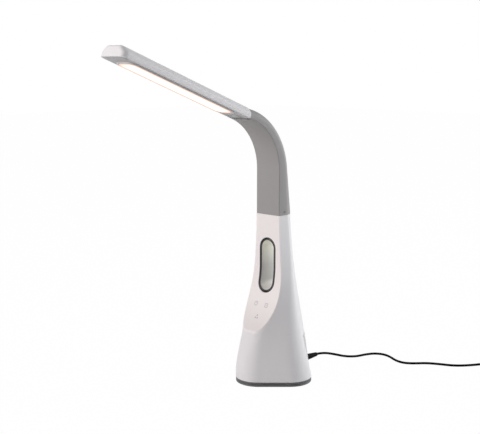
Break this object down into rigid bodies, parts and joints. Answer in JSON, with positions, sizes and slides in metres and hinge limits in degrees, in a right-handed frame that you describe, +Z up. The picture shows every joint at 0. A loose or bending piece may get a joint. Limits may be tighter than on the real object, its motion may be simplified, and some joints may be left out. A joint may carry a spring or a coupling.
{
  "type": "desk lamp with fan",
  "caption": "Desk lamp with a slim lit bar on a bendable grey neck, a flared white tower with a blown-air opening, a dark foot, and a cord to a wall adapter.",
  "frame": {"origin": "middle of the foot on the desk, under the tower", "axes": "+Z up; the lit head reaches forwards along -Y; the cord leaves at +Y; the lamp is mirror-symmetric about the plane X = 0"},
  "size_m": [0.2907, 0.607, 0.4298],
  "materials": {
    "white_shell": "smooth white plastic",
    "front_gloss": "pale semi-gloss plastic",
    "sign_print": "thin grey print",
    "dark_plastic": "dark moulded plastic",
    "foot_grey": "dark grey plastic",
    "soft_grey": "matt grey silicone sleeve",
    "cover_grey": "grey plastic",
    "window": "milky light window",
    "rubber": "black rubber",
    "steel": "plain steel",
    "iron": "blackened iron",
    "aluminium": "plain aluminium",
    "board": "green circuit board",
    "cream": "pale cream plastic",
    "led": "led package",
    "brass": "plain brass"
  },
  "bodies": {
    "base": {"foot_mat": "rubber", "foot_pan": "foot_grey", "ballast_disc": "iron", "base_screws": "steel", "tower_shell": "white_shell", "front_panel": "front_gloss", "nozzle_ring": "dark_plastic", "air_tunnel": "cream", "touch_signs": "sign_print", "touch_film": "dark_plastic", "power_board": "board", "power_inlet": "dark_plastic", "fan_housing": "dark_plastic", "fan_motor": "steel", "air_duct": "cream", "neck_anchor": "steel", "anchor_screws": "steel", "neck_collar": "dark_plastic", "neck_side_screws": "steel", "cord_plug": "rubber", "cord_run": "rubber", "cord_coil": "rubber", "coil_tie": "rubber", "adapter_relief": "rubber", "wall_adapter": "dark_plastic", "adapter_prongs": "brass", "spine_pin_1": "steel", "neck_sleeve_1": "soft_grey"},
    "neck_lower": {"spine_link_1": "steel", "spine_pin_2": "steel", "neck_sleeve_2": "soft_grey"},
    "neck_middle": {"spine_link_2": "steel", "spine_pin_3": "steel", "neck_sleeve_3": "soft_grey"},
    "neck_upper": {"spine_link_3": "steel", "spine_pin_4": "steel", "neck_sleeve_4": "soft_grey"},
    "head": {"head_arm": "steel", "head_shell": "white_shell", "head_cover": "cover_grey", "head_screws": "steel", "light_window": "window", "light_tray": "cream", "led_strip": "board", "led_lamps": "led", "heat_spreader": "aluminium"},
    "blower": {"fan_impeller": "dark_plastic", "fan_shaft": "steel"}
  },
  "joints": [
    {"name": "neck_bend_1", "type": "hinge", "parent": "base", "child": "neck_lower", "pos_m": [0, -0.0085, 0.248], "axis": [1, 0, 0], "range_deg": [-17, 17], "deforming": ["neck_sleeve_1"]},
    {"name": "neck_bend_2", "type": "hinge", "parent": "neck_lower", "child": "neck_middle", "pos_m": [0, -0.00892, 0.28499], "axis": [1, 0, 0], "range_deg": [-17, 17], "deforming": ["neck_sleeve_2"]},
    {"name": "neck_bend_3", "type": "hinge", "parent": "neck_middle", "child": "neck_upper", "pos_m": [0, -0.02137, 0.31946], "axis": [1, 0, 0], "range_deg": [-17, 17], "deforming": ["neck_sleeve_3"]},
    {"name": "neck_bend_4", "type": "hinge", "parent": "neck_upper", "child": "head", "pos_m": [0, -0.04842, 0.34419], "axis": [1, 0, 0], "range_deg": [-17, 17], "deforming": ["neck_sleeve_4"]},
    {"name": "fan_spin", "type": "hinge", "parent": "base", "child": "blower", "pos_m": [0, 0, 0.032], "axis": [0, 0, 1], "continuous": true}
  ]
}
